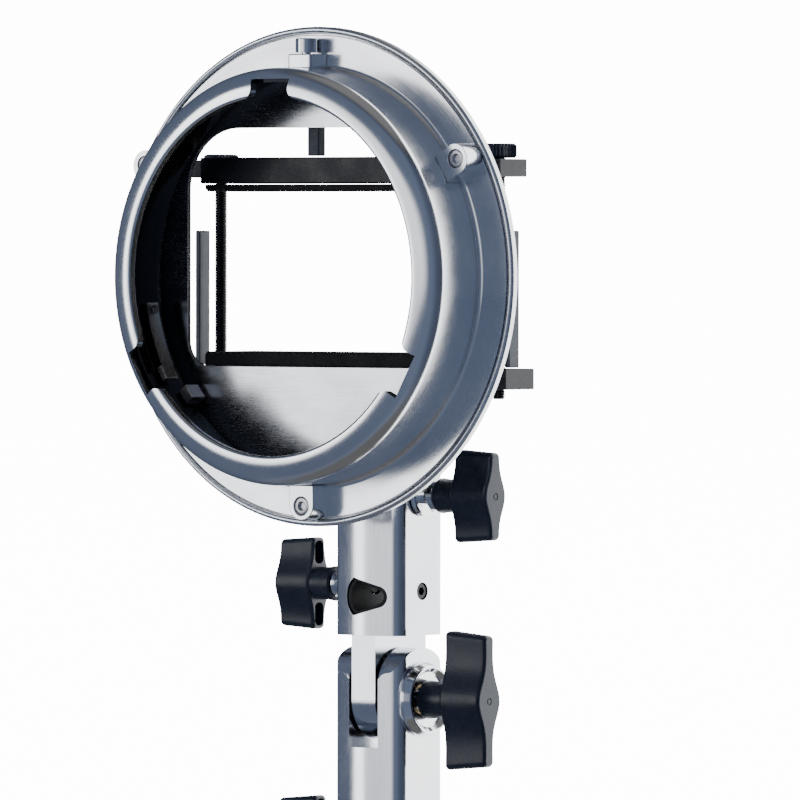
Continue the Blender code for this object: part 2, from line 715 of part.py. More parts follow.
def catch():
    """The sprung catch inside the ring that holds a speed ring's claw in its notch."""
    x, z = polar(58.7, 190)
    root = (x, RING_Y - 10, z)
    spring = arc_strip("catch_spring", 58.9, 0.5, 188, 208, -12.6, -7.4, steel(), root, 8)
    cut(spring, rod("catch_rivet_guide", 1.0, "X", (0, root[1], z), x - 4, x + 4, segments=10))
    arc_strip("catch_pawl", 59.2, 2.0, 208.4, 213, -15, -9.4, steel(), root, 2)
    arc_strip("catch_bracket", 59.9, 3.6, 216, 221, -9.0, -3.0, steel(), (0, RING_Y, RING_Z), 2)
    profile = [(0, -1.05), (0.7, -1.05), (0.7, 0.8), (1.5, 0.8), (1.3, 1.5), (0, 1.5)]
    return turned("catch_rivet", profile, "X", root, 12, steel())


# ---------------------------------------------------------------- assembly


def main():
    clear_scene()
    lower_block()
    stand_lock()
    tilt_lock()
    upper_block()
    umbrella_liner()
    umbrella_lock()
    umbrella_set_screw()
    height_lock()
    head_post()
    lower_jaw()
    jaw_pads()
    side_rails()
    upper_jaw()
    clamp_screws()
    centre_post()
    plate_bracket()
    back_plate()
    bayonet_ring()
    flange_lugs()
    ring_lock()
    catch()


main()
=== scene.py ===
"""Looks for the umbrella swivel bracket with its flash clamp and bayonet ring.

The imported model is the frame. Most nodes are rebuilt here at a finer step, in place, with the
same sizes. Outlines are in millimetres in the model's own frame: +Z up along the stand, -Y the
ring's front.
"""

import json
import math

import bmesh
import bpy
from mathutils import Matrix, Vector


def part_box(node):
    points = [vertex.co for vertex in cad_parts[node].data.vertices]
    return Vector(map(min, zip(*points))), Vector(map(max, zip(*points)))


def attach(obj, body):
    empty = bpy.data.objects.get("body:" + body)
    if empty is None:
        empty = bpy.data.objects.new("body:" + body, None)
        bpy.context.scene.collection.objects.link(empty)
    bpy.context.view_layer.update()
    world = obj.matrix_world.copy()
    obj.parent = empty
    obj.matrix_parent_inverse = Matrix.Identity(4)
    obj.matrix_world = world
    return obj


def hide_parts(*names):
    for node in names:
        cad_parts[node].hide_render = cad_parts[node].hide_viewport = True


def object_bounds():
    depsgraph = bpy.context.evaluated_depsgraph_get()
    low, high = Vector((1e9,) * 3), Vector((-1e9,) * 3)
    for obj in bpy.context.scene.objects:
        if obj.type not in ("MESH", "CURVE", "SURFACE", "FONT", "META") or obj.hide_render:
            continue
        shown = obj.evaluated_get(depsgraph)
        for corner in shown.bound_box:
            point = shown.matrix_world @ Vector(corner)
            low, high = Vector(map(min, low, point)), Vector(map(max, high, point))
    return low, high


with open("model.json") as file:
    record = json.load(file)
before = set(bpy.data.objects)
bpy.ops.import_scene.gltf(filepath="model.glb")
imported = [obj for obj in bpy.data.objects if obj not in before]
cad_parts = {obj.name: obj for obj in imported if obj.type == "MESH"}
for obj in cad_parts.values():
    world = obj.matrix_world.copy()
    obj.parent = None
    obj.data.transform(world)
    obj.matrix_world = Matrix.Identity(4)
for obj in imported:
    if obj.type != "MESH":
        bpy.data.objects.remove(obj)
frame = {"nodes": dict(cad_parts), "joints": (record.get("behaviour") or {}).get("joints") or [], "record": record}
cad_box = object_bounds()

MM = 0.001

# ---------------------------------------------------------------- places, from the frame

NODE_BODY = {
    node: body for body, nodes in frame["record"]["behaviour"]["bodies"].items() for node in nodes
}


def box_mm(node):
    low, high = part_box(node)
    return low / MM, high / MM


def upright(node):
    """The piece's middle in plan, and its low and high ends."""
    low, high = box_mm(node)
    return ((low.x + high.x) / 2, (low.y + high.y) / 2, 0), low.z, high.z


def joint_mm(name):
    for joint in frame["joints"]:
        if joint["name"] == name:
            return Vector(joint["pos_m"]) / MM
    raise KeyError(name)


PLATE_LOW, PLATE_HIGH = box_mm("back_plate")
RING_LOW, RING_HIGH = box_mm("bayonet_ring")
RIM_RADIUS = (PLATE_HIGH.x - PLATE_LOW.x) / 2
FLANGE_RADIUS = (RING_HIGH.x - RING_LOW.x) / 2
RING = Vector((0, PLATE_HIGH.y, (PLATE_LOW.z + PLATE_HIGH.z) / 2))
LIP_FRONT = RING_LOW.y - RING.y
FLANGE_BACK = RING_HIGH.y - RING.y

# The ring's section, as radii and depths from its rear plane
PLATE_THICKNESS = 1.5
BEAD_ROUND = 1.05
BEAD_FRONT = -3.3
FLANGE_FRONT = -2.9
WALL_RADIUS = 63.3
LIP_RADIUS = 54.35
LIP_SEAT = (55.4, 55.9)
SHOULDER_DEPTH = 5.1
INNER_WALL = 60.3
NOTCH_ANGLES = (90, 210, 330)
LUG_ANGLES = (30, 150, 270)
LUG_LEAD = 0.7  # degrees past the nominal angle
LUG_SCREW_RADIUS = 69.7
LUG_HALF_WIDTH = 4.65
LUG_REACH = 4.3
PIN_HOLE = 1.8
LOCK_HEAD_BOTTOM = 268.0
SCREW_HOLE = 1.75
APERTURE_HALF = 50.8
APERTURE_LOW_CORNER = 8.0
APERTURE_HIGH_CORNER = 19.0
APERTURE_BOTTOM = -27.6
APERTURE_TOP = 45.3


# ---------------------------------------------------------------- mesh tools


def on_axis(axis, first, second, along):
    if axis == "X":
        return Vector((along, first, second))
    if axis == "Y":
        return Vector((first, along, second))
    return Vector((first, second, along))


def to_object(name, build):
    """Turns a bmesh in millimetres into an object in metres."""
    bmesh.ops.recalc_face_normals(build, faces=build.faces)
    bmesh.ops.transform(build, matrix=Matrix.Scale(MM, 4), verts=build.verts)
    mesh = bpy.data.meshes.new(name)
    build.to_mesh(mesh)
    build.free()
    piece = bpy.data.objects.new(name, mesh)
    bpy.context.scene.collection.objects.link(piece)
    return piece


def extrude(name, outline, axis, low, high, low_outline=None):
    """Extrudes an outline. The low end may have its own, with as many points, for a draft."""
    build = bmesh.new()
    bottom = [build.verts.new(on_axis(axis, a, b, low)) for a, b in low_outline or outline]
    top = [build.verts.new(on_axis(axis, a, b, high)) for a, b in outline]
    build.faces.new(bottom)
    build.faces.new(top)
    count = len(outline)
    for i in range(count):
        j = (i + 1) % count
        build.faces.new((bottom[i], bottom[j], top[j], top[i]))
    return to_object(name, build)


def lathe(name, profile, axis, centre, segments=96, wave=None):
    """Turns (radius, along) points about an axis through centre.

    A profile that starts and ends at radius 0 is a solid of revolution; any other is a closed ring.
    wave(radius, along, angle) may change a radius, for a thread or a knurl.
    """
    build = bmesh.new()
    centre = Vector(centre)
    rings = []
    for radius, along in profile:
        if radius < 1e-6:
            rings.append([build.verts.new(centre + on_axis(axis, 0, 0, along))])
            continue
        ring = []
        for i in range(segments):
            angle = 2 * math.pi * i / segments
            r = wave(radius, along, angle) if wave else radius
            point = on_axis(axis, r * math.cos(angle), r * math.sin(angle), along)
            ring.append(build.verts.new(centre + point))
        rings.append(ring)
    closed = len(rings[0]) > 1 and len(rings[-1]) > 1
    for k in range(len(rings) if closed else len(rings) - 1):
        bridge(build, rings[k], rings[(k + 1) % len(rings)])
    return to_object(name, build)


def bridge(build, ring_a, ring_b):
    count = max(len(ring_a), len(ring_b))
    for i in range(count):
        j = (i + 1) % count
        if len(ring_a) == 1:
            build.faces.new((ring_a[0], ring_b[i], ring_b[j]))
        elif len(ring_b) == 1:
            build.faces.new((ring_a[i], ring_a[j], ring_b[0]))
        else:
            build.faces.new((ring_a[i], ring_a[j], ring_b[j], ring_b[i]))


def rod(name, radius, axis, centre, low, high, segments=48):
    profile = [(0, low), (radius, low), (radius, high), (0, high)]
    return lathe(name, profile, axis, centre, segments)


def brick(name, low, high):
    outline = [(low[0], low[1]), (high[0], low[1]), (high[0], high[1]), (low[0], high[1])]
    return extrude(name, outline, "Z", low[2], high[2])


def arc(centre_a, centre_b, radius_a, radius_b, start, end, steps):
    points = []
    for i in range(steps + 1):
        angle = math.radians(start + (end - start) * i / steps)
        a = centre_a + radius_a * math.cos(angle)
        b = centre_b + radius_b * math.sin(angle)
        points.append((a, b))
    return points


def rounded_rectangle(low, high, radius, steps=6):
    points = []
    corners = ((high, high, 0), (low, high, 90), (low, low, 180), (high, low, 270))
    for at_a, at_b, start in corners:
        a = at_a[0] - radius if at_a is high else at_a[0] + radius
        b = at_b[1] - radius if at_b is high else at_b[1] + radius
        points += arc(a, b, radius, radius, start, start + 90, steps)
    return points


def carve(piece, tools, operation="DIFFERENCE"):
    """Applies Booleans and removes the tools."""
    for tool in tools:
        modifier = piece.modifiers.new("carve", "BOOLEAN")
        modifier.operation = operation
        modifier.object = tool
        modifier.solver = "EXACT"
    graph = bpy.context.evaluated_depsgraph_get()
    mesh = bpy.data.meshes.new_from_object(piece.evaluated_get(graph))
    piece.modifiers.clear()
    piece.data = mesh
    for tool in tools:
        bpy.data.objects.remove(tool, do_unlink=True)
    return piece


def join_in(piece, tools):
    return carve(piece, tools, "UNION")


def round_off(piece, width, segments=4, angle=38):
    """Rounds the hard edges for good, before more is cut or joined."""
    bevel = piece.modifiers.new("round_off", "BEVEL")
    bevel.width = width * MM
    bevel.segments = segments
    bevel.limit_method = "ANGLE"
    bevel.angle_limit = math.radians(angle)
    return carve(piece, [])


def soften(piece, width, segments=2, angle=32):
    """Rounds the hard edges and shades the rest smooth."""
    piece.data.shade_smooth()
    piece.data.set_sharp_from_angle(angle=math.radians(angle))
    if width:
        bevel = piece.modifiers.new("edge_round", "BEVEL")
        bevel.width = width * MM
        bevel.segments = segments
        bevel.limit_method = "ANGLE"
        bevel.angle_limit = math.radians(angle)
        bevel.harden_normals = False
        bevel.miter_outer = "MITER_ARC"
    weights = piece.modifiers.new("face_normals", "WEIGHTED_NORMAL")
    weights.keep_sharp = True
    weights.weight = 100
    return piece


def place(piece, node, look, *more_nodes):
    """The piece stands for a CAD node: it takes its body and its finish."""
    piece.data.materials.clear()
    piece.data.materials.append(look)
    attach(piece, NODE_BODY[node])
    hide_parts(node, *more_nodes)
    return piece


def refine(node, look, width=0.3, segments=2, angle=32):
    """Copies a CAD node, merges its facets into whole faces and rounds its edges."""
    build = bmesh.new()
    build.from_mesh(frame["nodes"][node].data)
    bmesh.ops.remove_doubles(build, verts=build.verts, dist=1e-6)
    bmesh.ops.dissolve_limit(
        build, angle_limit=math.radians(0.6), verts=build.verts, edges=build.edges
    )
    mesh = bpy.data.meshes.new(node + "_finished")
    build.to_mesh(mesh)
    build.free()
    piece = bpy.data.objects.new(node + "_finished", mesh)
    bpy.context.scene.collection.objects.link(piece)
    soften(piece, width, segments, angle)
    return place(piece, node, look)


# ---------------------------------------------------------------- materials


class Look:
    """A material's node tree, with short calls for the nodes it needs."""

    def __init__(self, name, colour, roughness, metallic=0.0):
        self.material = bpy.data.materials.new(name)
        self.material.use_nodes = True
        self.tree = self.material.node_tree
        self.shader = self.tree.nodes["Principled BSDF"]
        self.shader.inputs["Base Color"].default_value = (*colour, 1)
        self.shader.inputs["Roughness"].default_value = roughness
        self.shader.inputs["Metallic"].default_value = metallic
        self.shader.inputs["Specular IOR Level"].default_value = 0.45
        self.place = self.tree.nodes.new("ShaderNodeTexCoord").outputs["Object"]

    def node(self, kind, **values):
        made = self.tree.nodes.new(kind)
        for key, value in values.items():
            setattr(made, key, value)
        return made

    def link(self, source, target):
        self.tree.links.new(source, target)

    def mapped(self, scale, vector=None):
        mapping = self.node("ShaderNodeMapping")
        mapping.inputs["Scale"].default_value = scale
        self.link(vector or self.place, mapping.inputs["Vector"])
        return mapping.outputs["Vector"]

    def noise(self, scale, detail=3.0, rough=0.55, vector=None):
        made = self.node("ShaderNodeTexNoise")
        made.inputs["Scale"].default_value = 1.0
        made.inputs["Detail"].default_value = detail
        made.inputs["Roughness"].default_value = rough
        self.link(self.mapped(scale, vector), made.inputs["Vector"])
        return made.outputs["Fac"]

    def cells(self, scale):
        made = self.node("ShaderNodeTexVoronoi", feature="SMOOTH_F1")
        made.inputs["Scale"].default_value = scale
        self.link(self.place, made.inputs["Vector"])
        return made.outputs["Distance"]

    def math(self, operation, first, second=0.0):
        made = self.node("ShaderNodeMath", operation=operation)
        for socket, value in zip(made.inputs, (first, second)):
            if isinstance(value, (int, float)):
                socket.default_value = value
            else:
                self.link(value, socket)
        return made.outputs["Value"]

    def spread(self, value, low, high, from_low=0.3, from_high=0.7):
        """Maps a noise onto low to high."""
        made = self.node("ShaderNodeMapRange")
        self.link(value, made.inputs["Value"])
        made.inputs["From Min"].default_value = from_low
        made.inputs["From Max"].default_value = from_high
        made.inputs["To Min"].default_value = low
        made.inputs["To Max"].default_value = high
        return made.outputs["Result"]

    def tint(self, value, colours):
        """A colour ramp from 0 to 1 over evenly spaced colours."""
        ramp = self.node("ShaderNodeValToRGB")
        elements = ramp.color_ramp.elements
        while len(elements) < len(colours):
            elements.new(0.5)
        for i, colour in enumerate(colours):
            elements[i].position = i / (len(colours) - 1)
            elements[i].color = (*colour, 1)
        self.link(value, ramp.inputs["Fac"])
        self.link(ramp.outputs["Color"], self.shader.inputs["Base Color"])
        return self

    def roughness(self, value):
        self.link(value, self.shader.inputs["Roughness"])
        return self

    def bump(self, height, distance, strength=1.0):
        """Stacks a bump, distance in millimetres."""
        made = self.node("ShaderNodeBump")
        made.inputs["Strength"].default_value = strength
        made.inputs["Distance"].default_value = distance * MM
        self.link(height, made.inputs["Height"])
        normal = self.shader.inputs["Normal"]
        if normal.links:
            self.link(normal.links[0].from_socket, made.inputs["Normal"])
        self.link(made.outputs["Normal"], normal)
        return self


def ring_radius(look):
    """Distance from the ring's axis, depth and the angle round it, as one texture vector."""
    split = look.node("ShaderNodeSeparateXYZ")
    look.link(look.place, split.inputs["Vector"])
    up = look.math("SUBTRACT", split.outputs["Z"], RING.z * MM)
    square = look.math("ADD", look.math("POWER", split.outputs["X"], 2), look.math("POWER", up, 2))
    radius = look.math("SQRT", square)
    joined = look.node("ShaderNodeCombineXYZ")
    look.link(radius, joined.inputs["X"])
    look.link(split.outputs["Y"], joined.inputs["Y"])
    angle = look.math("ARCTAN2", up, split.outputs["X"])
    metres_a_radian = 0.004
    look.link(look.math("MULTIPLY", angle, metres_a_radian), joined.inputs["Z"])
    return joined.outputs["Vector"]


def turned_aluminium():
    """Spun and polished, faintly ringed by the lathe. Inside, behind the lip, it carries a painted reflection:
    near black, for the dark flash body the wall would mirror.
    """
    look = Look("turned_aluminium", (0.83, 0.84, 0.86), 0.14, 1.0)
    turned = ring_radius(look)
    lines = look.noise((5200, 5200, 160), 2.0, 0.6, turned)
    film = look.noise((38, 38, 38), 5.0, 0.6)
    split = look.node("ShaderNodeSeparateXYZ")
    look.link(turned, split.inputs["Vector"])
    inner = (INNER_WALL + 1.4) * MM
    behind_lip = (RING.y - 22.4) * MM
    # Painted reflection: inside the inner wall's radius and behind the lip, the colour turns near black, standing
    # in for the dark flash the wall would mirror.
    outside = look.spread(split.outputs["X"], 0, 1, inner, inner + 0.2 * MM)
    ahead = look.spread(split.outputs["Y"], 1, 0, behind_lip, behind_lip + 0.5 * MM)
    clear_of_painted_reflection = look.math("MAXIMUM", outside, ahead)
    tone_and_painted_reflection = look.math("MULTIPLY", look.spread(film, 0.5, 1, 0.3, 0.72), clear_of_painted_reflection)
    # The first colour is the painted dark reflection; the other two are the metal's own random tone.
    look.tint(tone_and_painted_reflection, ((0.012, 0.013, 0.016), (0.76, 0.775, 0.80), (0.86, 0.865, 0.88)))
    grain = look.spread(lines, -0.03, 0.04)
    look.roughness(look.math("ADD", look.spread(film, 0.11, 0.23), grain))
    return look.bump(lines, 0.002).material


def sheet_aluminium():
    """Rolled sheet, polished: hairlines along X, cloudy handling marks and shallow waviness."""
    look = Look("sheet_aluminium", (0.80, 0.81, 0.83), 0.2, 1.0)
    hairs = look.noise((60, 60, 4200), 2.0, 0.6)
    cloud = look.noise((46, 46, 62), 6.0, 0.62)
    look.tint(look.spread(cloud, 0, 1, 0.3, 0.7), ((0.70, 0.715, 0.74), (0.84, 0.845, 0.86)))
    grain = look.spread(hairs, -0.03, 0.05)
    look.roughness(look.math("ADD", look.spread(cloud, 0.15, 0.3), grain))
    return look.bump(hairs, 0.003).bump(look.noise((14, 14, 14), 2.0), 0.12, 0.35).material


def extruded_aluminium(name, shift):
    """Extrusion, linished along its length and half polished, with fine draw lines."""
    look = Look(name, (0.80, 0.81, 0.84), 0.2, 1.0)
    lines = look.noise((2600, 2600, 90 + shift), 3.0, 0.6)
    broad = look.noise((420, 420, 9 + shift), 2.0, 0.5)
    film = look.noise((55, 55, 40 + shift), 5.0, 0.6)
    look.tint(look.spread(film, 0, 1), ((0.74, 0.755, 0.785), (0.85, 0.855, 0.875)))
    grain = look.spread(lines, -0.03, 0.05)
    look.roughness(look.math("ADD", look.spread(film, 0.09, 0.19), grain))
    return look.bump(lines, 0.004).bump(broad, 0.006, 0.6).material


def chrome():
    """Bright plate with hair scratches and a little dulling."""
    look = Look("chrome_plate", (0.86, 0.87, 0.89), 0.07, 1.0)
    scratches = look.noise((900, 2400, 900), 4.0, 0.7)
    dull = look.noise((180, 180, 180), 4.0, 0.6)
    look.tint(look.spread(dull, 0, 1), ((0.78, 0.79, 0.81), (0.9, 0.905, 0.92)))
    look.roughness(look.spread(dull, 0.05, 0.16))
    return look.bump(scratches, 0.0015).material


def brushed_steel(name="brushed_steel", colour=(0.56, 0.545, 0.52)):
    look = Look(name, colour, 0.32, 1.0)
    lines = look.noise((700, 3800, 700), 3.0, 0.6)
    stain = look.noise((130, 130, 130), 5.0, 0.65)
    dark = tuple(c * 0.72 for c in colour)
    look.tint(look.spread(stain, 0, 1), (dark, colour))
    grain = look.spread(lines, -0.04, 0.06)
    look.roughness(look.math("ADD", look.spread(stain, 0.24, 0.42), grain))
    return look.bump(lines, 0.006).material


def powder_coat():
    """Black powder coat: a fine orange-peel skin, rubbed a little grey in random patches."""
    look = Look("powder_coat", (0.010, 0.012, 0.017), 0.42)
    peel = look.noise((1500, 1500, 1500), 3.0, 0.5)
    patch = look.noise((90, 90, 90), 4.0, 0.6)
    look.tint(look.spread(patch, 0, 1), ((0.006, 0.007, 0.011), (0.013, 0.015, 0.021)))
    grain = look.spread(peel, -0.04, 0.04)
    look.roughness(look.math("ADD", look.spread(patch, 0.34, 0.5), grain))
    return look.bump(peel, 0.035).material


def moulded(name, dark, light, rough):
    """Satin moulded plastic with spark-eroded texture and a trace of handling shine."""
    look = Look(name, dark, rough[0])
    grain = look.cells(2600)
    fine = look.noise((2400, 2400, 2400), 2.0, 0.5)
    handling = look.noise((120, 120, 120), 4.0, 0.6)
    look.tint(look.spread(handling, 0, 1), (dark, light))
    texture = look.spread(fine, -0.05, 0.05)
    look.roughness(look.math("ADD", look.spread(handling, *rough), texture))
    return look.bump(grain, 0.03, 0.6).bump(fine, 0.012).material


def black_rubber():
    look = Look("black_rubber", (0.014, 0.014, 0.016), 0.75)
    dust = look.noise((260, 260, 260), 5.0, 0.65)
    pores = look.noise((3000, 3000, 3000), 2.0, 0.5)
    look.tint(look.spread(dust, 0, 1), ((0.005, 0.005, 0.006), (0.014, 0.014, 0.016)))
    look.roughness(look.spread(dust, 0.62, 0.85))
    return look.bump(pores, 0.03).material


def turned_brass():
    look = Look("turned_brass", (0.72, 0.54, 0.27), 0.25, 1.0)
    lines = look.noise((3800, 300, 300), 2.0, 0.5)
    tarnish = look.noise((240, 240, 240), 4.0, 0.6)
    look.tint(look.spread(tarnish, 0, 1), ((0.50, 0.35, 0.16), (0.80, 0.62, 0.33)))
    look.roughness(look.spread(tarnish, 0.2, 0.4))
    return look.bump(lines, 0.005).material


# ---------------------------------------------------------------- ring and plate


def ring_profile():
    """Flange, fillet, wall, broad shoulder, seat, rolled lip and the inside back to the flange."""
    seat_in, seat_out = LIP_SEAT
    points = [(FLANGE_RADIUS - 0.15, FLANGE_BACK), (FLANGE_RADIUS, FLANGE_BACK - 0.15)]
    points += [(FLANGE_RADIUS, FLANGE_FRONT + 0.25), (FLANGE_RADIUS - 0.25, FLANGE_FRONT)]
    points += [(71.0, FLANGE_FRONT + 0.02), (67.5, FLANGE_FRONT + 0.1)]
    fillet = 1.5
    wall_foot = WALL_RADIUS + 0.1
    points += arc(wall_foot + fillet, FLANGE_FRONT - fillet, fillet, fillet, 90, 180, 8)
    shoulder = LIP_FRONT + SHOULDER_DEPTH
    points += [(WALL_RADIUS, shoulder + 0.6)]
    points += arc(seat_out, shoulder, WALL_RADIUS - seat_out, SHOULDER_DEPTH, 0, -90, 26)
    roll = seat_in - LIP_RADIUS
    points += arc(seat_in, LIP_FRONT + roll, roll, roll, -90, -180, 8)
    points += arc(LIP_RADIUS + 0.5, -23.0, 0.5, 0.5, -180, -270, 5)
    points += arc(57.0, -18.75, INNER_WALL - 57.0 - 0.3, 3.75, -90, 0, 8)
    points += [(INNER_WALL, -12.0), (INNER_WALL + 0.2, -5.0), (61.4, FLANGE_BACK)]
    return points


def polar(radius, angle):
    turn = math.radians(angle)
    return (RING.x + radius * math.cos(turn), RING.z + radius * math.sin(turn))


def notch_tool(angle):
    """One gap through the lip. The lip's ends are rounded where they meet the mouth."""
    steps = [(60.3, 7.0), (58.0, 7.05), (56.9, 7.2), (56.0, 7.6)]
    steps += [(55.3, 8.3), (54.8, 9.2), (54.45, 10.4), (54.3, 11.8), (53.0, 12.2)]
    outline = [polar(radius, angle + half) for radius, half in steps]
    outline += [polar(radius, angle - half) for radius, half in reversed(steps)]
    return extrude("notch_tool", outline, "Y", RING.y - 30, RING.y + LIP_FRONT + 3.8)


def lug_screw_centre(angle):
    x, z = polar(LUG_SCREW_RADIUS, angle + LUG_LEAD)
    return (x, RING.y, z)


def screw_hole(angle):
    return rod("screw_hole_tool", SCREW_HOLE, "Y", lug_screw_centre(angle), -14, 4, 32)


def screw_hole_tools():
    return [screw_hole(angle) for angle in LUG_ANGLES]


def bayonet_ring(look):
    ring = lathe("bayonet_ring_turned", ring_profile(), "Y", RING, 240)
    tools = [notch_tool(angle) for angle in NOTCH_ANGLES] + screw_hole_tools()
    low, high = box_mm("ring_lock_screw")
    pin_y = (low.y + high.y) / 2
    tools.append(rod("pin_hole_tool", PIN_HOLE, "Z", (0, pin_y, RING.z), 55, 66, 32))
    carve(ring, tools)
    return place(soften(ring, 0.22, 2, 40), "bayonet_ring", look)


def aperture_outline():
    half = APERTURE_HALF
    low = APERTURE_LOW_CORNER
    high = APERTURE_HIGH_CORNER
    bottom = RING.z + APERTURE_BOTTOM
    top = RING.z + APERTURE_TOP
    points = arc(half - high, top - high, high, high, 0, 90, 20)
    points += arc(high - half, top - high, high, high, 90, 180, 20)
    points += arc(low - half, bottom + low, low, low, 180, 270, 12)
    points += arc(half - low, bottom + low, low, low, 270, 360, 12)
    return points


def back_plate(look):
    """Sheet with a rolled bead and a window."""
    bead = RIM_RADIUS - BEAD_ROUND
    profile = [(0, 0), (RIM_RADIUS - 1.0, 0)]
    profile += arc(RIM_RADIUS - 1.0, -1.0, 1.0, 1.0, 90, 0, 6)
    profile += arc(bead, BEAD_FRONT + BEAD_ROUND, BEAD_ROUND, BEAD_ROUND, 0, -180, 14)
    profile += [(RIM_RADIUS - 2 * BEAD_ROUND, -PLATE_THICKNESS), (0, -PLATE_THICKNESS)]
    plate = lathe("back_plate_pressed", profile, "Y", RING, 240)
    window = extrude("window_tool", aperture_outline(), "Y", RING.y - 10, RING.y + 10)
    carve(plate, [window] + screw_hole_tools())
    return place(soften(plate, 0.3, 3, 40), "back_plate", look)


def flange_lug(angle, look):
    """A cast boss: U-shaped, run into the collar's wall."""
    turn = math.radians(angle + LUG_LEAD)
    along = Vector((math.cos(turn), math.sin(turn)))
    across = Vector((-along.y, along.x))
    node = f"flange_lug_{angle}"
    low = box_mm(node)[0]
    local = [(WALL_RADIUS + 0.1, -LUG_HALF_WIDTH)]
    local += arc(LUG_SCREW_RADIUS, 0, LUG_REACH, LUG_HALF_WIDTH, -90, 90, 24)
    local += [(WALL_RADIUS + 0.1, LUG_HALF_WIDTH)]
    outline = []
    for radius, sideways in local:
        point = along * radius + across * sideways
        outline.append((RING.x + point.x, RING.z + point.y))
    lug = extrude(node + "_cast", outline, "Y", low.y, RING.y + FLANGE_FRONT + 0.2)
    face = low.y - RING.y
    sink = rod("sink_tool", 2.8, "Y", lug_screw_centre(angle), face - 2, face + 1.9, 48)
    carve(lug, [sink, screw_hole(angle)])
    return place(soften(lug, 0.25, 3, 40), node, look)


def hex_screw(node, axis, centre, face, head, shank, end, look, hex_radius=1.35):
    """A cap screw with a hex socket, from face to end along the axis. head is (radius, height)."""
    radius, height = head
    way = 1 if end > face else -1
    under = face + way * height
    profile = [(0, face), (radius - 0.45, face)]
    profile += [(radius - 0.12, face + way * 0.12), (radius, face + way * 0.45)]
    profile += [(radius, face + way * (height - 0.1)), (radius - 0.1, under)]
    profile += [(shank, under), (shank, end - way * 0.3), (shank - 0.3, end), (0, end)]
    screw = lathe(node + "_turned", profile, axis, centre, 48)
    low, high = sorted((face - way * 1.0, face + way * min(1.6, height * 0.7)))
    socket = rod("socket_tool", hex_radius, axis, centre, low, high, 6)
    outer, inner = face - way * 0.2, face + way * 0.35
    cone = [(0, outer), (hex_radius + 0.35, outer), (hex_radius - 0.2, inner), (0, inner)]
    chamfer = lathe("chamfer_tool", cone, axis, centre, 32)
    carve(screw, [socket, chamfer])
    return place(soften(screw, 0.06, 2, 40), node, look)


def lug_screws(look):
    for angle in LUG_ANGLES:
        node = f"lug_screw_{angle}"
        low, high = box_mm(node)
        face, end = low.y - RING.y, high.y - RING.y
        hex_screw(node, "Y", lug_screw_centre(angle), face, (2.68, 1.4), 1.45, end, look)


def ring_lock(lug_look, screw_look, pin_look):
    """The box lug, its radial screw with a polished drum head, and the pin at its tip."""
    low, high = box_mm("lock_lug")
    outline = rounded_rectangle((low.x, low.y), (high.x, high.y + 0.5), 0.9, 5)
    lug = extrude("lock_lug_cast", outline, "Z", low.z - 0.4, high.z)
    low, high = box_mm("ring_lock_screw")
    centre = (0, (low.y + high.y) / 2, 0)
    carve(lug, [rod("lug_bore_tool", PIN_HOLE, "Z", centre, low.z - 3, high.z, 32)])
    place(soften(lug, 0.35, 3, 40), "lock_lug", lug_look)
    head = ((high.x - low.x) / 2, high.z - LOCK_HEAD_BOTTOM)
    hex_screw("ring_lock_screw", "Z", centre, high.z, head, 1.45, low.z, screw_look, 1.5)
    refine("ring_lock_pin", pin_look, 0.15)


def catch(look, rivet_look):
    """The leaf spring with its turned-in end, the pawl, and the bracket that guides it."""
    refine("catch_spring", look, 0.12, 2, 40)
    refine("catch_pawl", look, 0.2, 2, 40)
    refine("catch_bracket", look, 0.3, 2, 40)
    refine("catch_rivet", rivet_look, 0.1, 2, 40)


# ---------------------------------------------------------------- blocks

PIVOT = joint_mm("tilt").z
UPPER_LOW, UPPER_HIGH = box_mm("upper_block")
LOWER_HIGH = box_mm("lower_block")[1]
UPPER_BOTTOM = 90.1
SLOT_BOTTOM = 55.8
SLOT_HALF = 5.6
CORNER = 4.2
CORNER_TURN = 75
CLEAR = 20  # past a block's side, for tools
TONGUE_HALF = 4.55
PIVOT_HOLE = 3.3
SOCKET_HOLE = 8.2
SOCKET_DEPTH = 42
STAND_THREAD = 4.1
LOCK_THREAD = 3.2
UMBRELLA_Z = 102.0
UMBRELLA_PORT = -1.7  # where the lock's hole opens into the umbrella hole


def block_outline():
    """The extrusion's section: flat sides, round corners, front and rear crowned."""
    turn = math.radians(CORNER_TURN)
    half_y = LOWER_HIGH.y
    flat_x = LOWER_HIGH.x - CORNER
    crown_half = flat_x + CORNER * math.cos(turn)
    crown = crown_half / math.tan(turn) / 2
    flat_y = half_y - crown - CORNER * math.sin(turn)
    points = arc(flat_x, flat_y, CORNER, CORNER, 0, CORNER_TURN, 24)
    for part in range(15, -16, -1):
        points.append((crown_half * part / 16, half_y - crown * (part / 16) ** 2))
    points += arc(-flat_x, flat_y, CORNER, CORNER, 180 - CORNER_TURN, 180, 24)
    return points + [(-x, -y) for x, y in points]


def umbrella_outline(inset):
    """The V seat's outline: a wide round on the lock's side, a narrow one opposite."""
    wide = arc(0.6, UMBRELLA_Z, 7.2 - inset, 7.2 - inset, 126, 234, 24)
    return wide + arc(5.4, UMBRELLA_Z, 3.3 - inset, 3.3 - inset, -70, 70, 24)


def cross_hole(name, radius, z, low, high):
    return rod(name, radius, "X", (0, 0, z), low, high)


